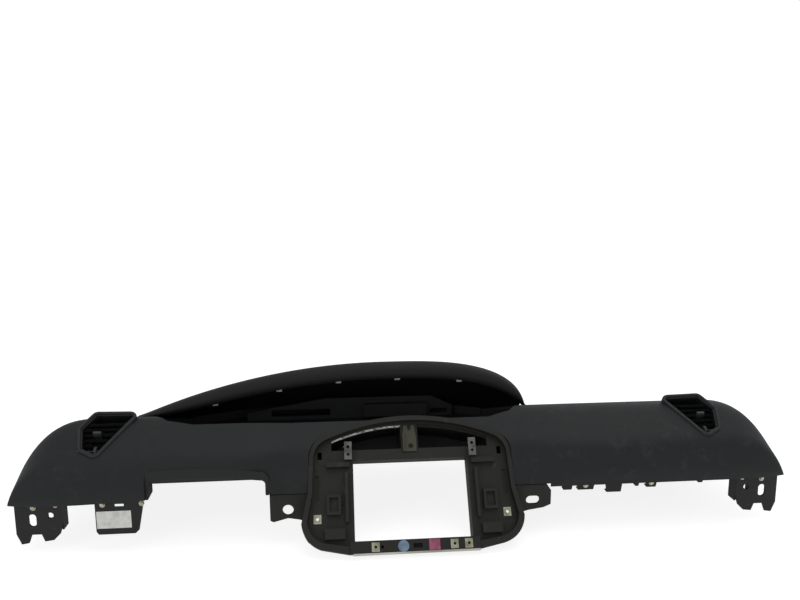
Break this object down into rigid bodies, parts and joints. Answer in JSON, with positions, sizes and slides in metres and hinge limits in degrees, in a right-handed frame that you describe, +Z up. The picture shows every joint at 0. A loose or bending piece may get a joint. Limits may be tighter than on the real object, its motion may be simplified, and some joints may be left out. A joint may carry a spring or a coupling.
{
  "type": "car dashboard assembly",
  "caption": "Stripped car dashboard: padded skin, hood over an empty instrument recess, raked centre frame, side air vents with moving blades, ducts and fixing brackets.",
  "frame": {"origin": "centre of the overall box in plan, on the level of the centre frame's foot", "axes": "+X to the right as the driver sees it, +Y towards the windscreen, +Z up, as fitted in the car"},
  "size_m": [1.45, 0.4977, 0.305],
  "materials": {
    "pad_skin": "soft grained skin, matt",
    "hood_skin": "coarse grained skin, matt",
    "black_moulding": "moulded, matt",
    "grey_moulding": "moulded, matt",
    "frame_moulding": "moulded, matt",
    "bracket_moulding": "moulded, worn",
    "bright_steel": "plain cut edge",
    "zinc_steel": "zinc plated",
    "spring_steel": "bright",
    "bracket_steel": "dull plated",
    "blue_paper": "printed paper, bare",
    "pink_paper": "printed paper, bare",
    "white_paper": "paper, bare",
    "pale_moulding": "moulded, matt",
    "duct_moulding": "blow moulded, matt",
    "foil_seal": "crinkled foil",
    "foam_seal": "foam, matt",
    "vent_moulding": "moulded, satin",
    "bezel_moulding": "moulded, matt",
    "knob_moulding": "moulded, satin"
  },
  "bodies": {
    "dashboard": {"dash_pad": "pad_skin", "column_trim": "black_moulding", "instrument_hood": "hood_skin", "hood_clips": "spring_steel", "instrument_tray": "black_moulding", "instrument_back_plate": "grey_moulding", "centre_frame": "frame_moulding", "lower_cross_bar": "frame_moulding", "cross_bar_strip": "bright_steel", "cross_bar_nuts": "zinc_steel", "frame_side_nuts": "zinc_steel", "round_sticker": "blue_paper", "square_sticker": "pink_paper", "left_radio_bracket": "bracket_steel", "right_radio_bracket": "bracket_steel", "switch_bracket": "pale_moulding", "centre_air_duct": "duct_moulding", "left_duct_seal": "foil_seal", "right_duct_seal": "foam_seal", "knee_bracket": "black_moulding", "blank_label": "white_paper", "passenger_rail": "black_moulding", "airbag_chute": "black_moulding", "bracket_screws": "zinc_steel", "left_side_duct": "duct_moulding", "left_end_bracket": "bracket_moulding", "left_vent_housing": "vent_moulding", "left_vent_bezel": "bezel_moulding", "right_side_duct": "duct_moulding", "right_end_bracket": "bracket_moulding", "right_vent_housing": "vent_moulding", "right_vent_bezel": "bezel_moulding"},
    "left_vent_blade_1": {"left_vent_blade_1": "vent_moulding"},
    "left_vent_knob": {"left_vent_knob": "knob_moulding"},
    "left_vent_blade_2": {"left_vent_blade_2": "vent_moulding"},
    "left_vent_blade_3": {"left_vent_blade_3": "vent_moulding"},
    "left_vent_blade_4": {"left_vent_blade_4": "vent_moulding"},
    "left_vent_blade_5": {"left_vent_blade_5": "vent_moulding"},
    "left_vent_vane_1": {"left_vent_vane_1": "vent_moulding"},
    "left_vent_vane_2": {"left_vent_vane_2": "vent_moulding"},
    "left_vent_vane_3": {"left_vent_vane_3": "vent_moulding"},
    "left_vent_thumbwheel": {"left_vent_thumbwheel": "knob_moulding"},
    "left_vent_flap": {"left_vent_flap": "vent_moulding"},
    "right_vent_blade_1": {"right_vent_blade_1": "vent_moulding"},
    "right_vent_knob": {"right_vent_knob": "knob_moulding"},
    "right_vent_blade_2": {"right_vent_blade_2": "vent_moulding"},
    "right_vent_blade_3": {"right_vent_blade_3": "vent_moulding"},
    "right_vent_blade_4": {"right_vent_blade_4": "vent_moulding"},
    "right_vent_blade_5": {"right_vent_blade_5": "vent_moulding"},
    "right_vent_vane_1": {"right_vent_vane_1": "vent_moulding"},
    "right_vent_vane_2": {"right_vent_vane_2": "vent_moulding"},
    "right_vent_vane_3": {"right_vent_vane_3": "vent_moulding"},
    "right_vent_thumbwheel": {"right_vent_thumbwheel": "knob_moulding"},
    "right_vent_flap": {"right_vent_flap": "vent_moulding"}
  },
  "joints": [
    {"name": "left_blade_1_tilt", "type": "hinge", "parent": "dashboard", "child": "left_vent_blade_1", "pos_m": [-0.565, -0.12654, 0.18472], "axis": [1, 0, 0], "range_deg": [-22, 22]},
    {"name": "left_blade_2_tilt", "type": "hinge", "parent": "dashboard", "child": "left_vent_blade_2", "pos_m": [-0.565, -0.1161, 0.19124], "axis": [1, 0, 0], "range_deg": [-22, 22]},
    {"name": "left_blade_3_tilt", "type": "hinge", "parent": "dashboard", "child": "left_vent_blade_3", "pos_m": [-0.565, -0.10567, 0.19776], "axis": [1, 0, 0], "range_deg": [-22, 22]},
    {"name": "left_blade_4_tilt", "type": "hinge", "parent": "dashboard", "child": "left_vent_blade_4", "pos_m": [-0.565, -0.09524, 0.20428], "axis": [1, 0, 0], "range_deg": [-22, 22]},
    {"name": "left_blade_5_tilt", "type": "hinge", "parent": "dashboard", "child": "left_vent_blade_5", "pos_m": [-0.565, -0.08481, 0.21079], "axis": [1, 0, 0], "range_deg": [-22, 22]},
    {"name": "left_knob_slide", "type": "slide", "parent": "left_vent_blade_3", "child": "left_vent_knob", "axis": [1, 0, 0], "range_m": [-0.012, 0.012]},
    {"name": "left_vane_1_turn", "type": "hinge", "parent": "dashboard", "child": "left_vent_vane_1", "pos_m": [-0.551, -0.09781, 0.18027], "axis": [0, 0.848, 0.5299], "range_deg": [-30.5, 30.5]},
    {"name": "left_vane_2_turn", "type": "hinge", "parent": "dashboard", "child": "left_vent_vane_2", "pos_m": [-0.571, -0.09781, 0.18027], "axis": [0, 0.848, 0.5299], "range_deg": [-30.5, 30.5]},
    {"name": "left_vane_3_turn", "type": "hinge", "parent": "dashboard", "child": "left_vent_vane_3", "pos_m": [-0.591, -0.09781, 0.18027], "axis": [0, 0.848, 0.5299], "range_deg": [-30.5, 30.5]},
    {"name": "left_thumbwheel_turn", "type": "hinge", "parent": "dashboard", "child": "left_vent_thumbwheel", "pos_m": [-0.573, -0.13777, 0.18006], "axis": [1, 0, 0], "range_deg": [0, 85]},
    {"name": "left_flap_turn", "type": "hinge", "parent": "dashboard", "child": "left_vent_flap", "pos_m": [-0.574, -0.07311, 0.1615], "axis": [1, 0, 0], "range_deg": [0, 85.5]},
    {"name": "right_blade_1_tilt", "type": "hinge", "parent": "dashboard", "child": "right_vent_blade_1", "pos_m": [0.565, -0.12654, 0.18472], "axis": [1, 0, 0], "range_deg": [-22, 22]},
    {"name": "right_blade_2_tilt", "type": "hinge", "parent": "dashboard", "child": "right_vent_blade_2", "pos_m": [0.565, -0.1161, 0.19124], "axis": [1, 0, 0], "range_deg": [-22, 22]},
    {"name": "right_blade_3_tilt", "type": "hinge", "parent": "dashboard", "child": "right_vent_blade_3", "pos_m": [0.565, -0.10567, 0.19776], "axis": [1, 0, 0], "range_deg": [-22, 22]},
    {"name": "right_blade_4_tilt", "type": "hinge", "parent": "dashboard", "child": "right_vent_blade_4", "pos_m": [0.565, -0.09524, 0.20428], "axis": [1, 0, 0], "range_deg": [-22, 22]},
    {"name": "right_blade_5_tilt", "type": "hinge", "parent": "dashboard", "child": "right_vent_blade_5", "pos_m": [0.565, -0.08481, 0.21079], "axis": [1, 0, 0], "range_deg": [-22, 22]},
    {"name": "right_knob_slide", "type": "slide", "parent": "right_vent_blade_3", "child": "right_vent_knob", "axis": [1, 0, 0], "range_m": [-0.012, 0.012]},
    {"name": "right_vane_1_turn", "type": "hinge", "parent": "dashboard", "child": "right_vent_vane_1", "pos_m": [0.551, -0.09781, 0.18027], "axis": [0, 0.848, 0.5299], "range_deg": [-30.5, 30.5]},
    {"name": "right_vane_2_turn", "type": "hinge", "parent": "dashboard", "child": "right_vent_vane_2", "pos_m": [0.571, -0.09781, 0.18027], "axis": [0, 0.848, 0.5299], "range_deg": [-30.5, 30.5]},
    {"name": "right_vane_3_turn", "type": "hinge", "parent": "dashboard", "child": "right_vent_vane_3", "pos_m": [0.591, -0.09781, 0.18027], "axis": [0, 0.848, 0.5299], "range_deg": [-30.5, 30.5]},
    {"name": "right_thumbwheel_turn", "type": "hinge", "parent": "dashboard", "child": "right_vent_thumbwheel", "pos_m": [0.573, -0.13777, 0.18006], "axis": [1, 0, 0], "range_deg": [0, 85]},
    {"name": "right_flap_turn", "type": "hinge", "parent": "dashboard", "child": "right_vent_flap", "pos_m": [0.574, -0.07311, 0.1615], "axis": [1, 0, 0], "range_deg": [0, 85.5]}
  ],
  "couplings": [
    {"joint": "left_blade_1_tilt", "follows": "left_blade_3_tilt", "ratio": 1},
    {"joint": "left_blade_2_tilt", "follows": "left_blade_3_tilt", "ratio": 1},
    {"joint": "left_blade_4_tilt", "follows": "left_blade_3_tilt", "ratio": 1},
    {"joint": "left_blade_5_tilt", "follows": "left_blade_3_tilt", "ratio": 1},
    {"joint": "left_vane_1_turn", "follows": "left_knob_slide", "rad_per_m": 43.633},
    {"joint": "left_vane_2_turn", "follows": "left_knob_slide", "rad_per_m": 43.633},
    {"joint": "left_vane_3_turn", "follows": "left_knob_slide", "rad_per_m": 43.633},
    {"joint": "left_flap_turn", "follows": "left_thumbwheel_turn", "ratio": 1},
    {"joint": "right_blade_1_tilt", "follows": "right_blade_3_tilt", "ratio": 1},
    {"joint": "right_blade_2_tilt", "follows": "right_blade_3_tilt", "ratio": 1},
    {"joint": "right_blade_4_tilt", "follows": "right_blade_3_tilt", "ratio": 1},
    {"joint": "right_blade_5_tilt", "follows": "right_blade_3_tilt", "ratio": 1},
    {"joint": "right_vane_1_turn", "follows": "right_knob_slide", "rad_per_m": 43.633},
    {"joint": "right_vane_2_turn", "follows": "right_knob_slide", "rad_per_m": 43.633},
    {"joint": "right_vane_3_turn", "follows": "right_knob_slide", "rad_per_m": 43.633},
    {"joint": "right_flap_turn", "follows": "right_thumbwheel_turn", "ratio": 1}
  ]
}
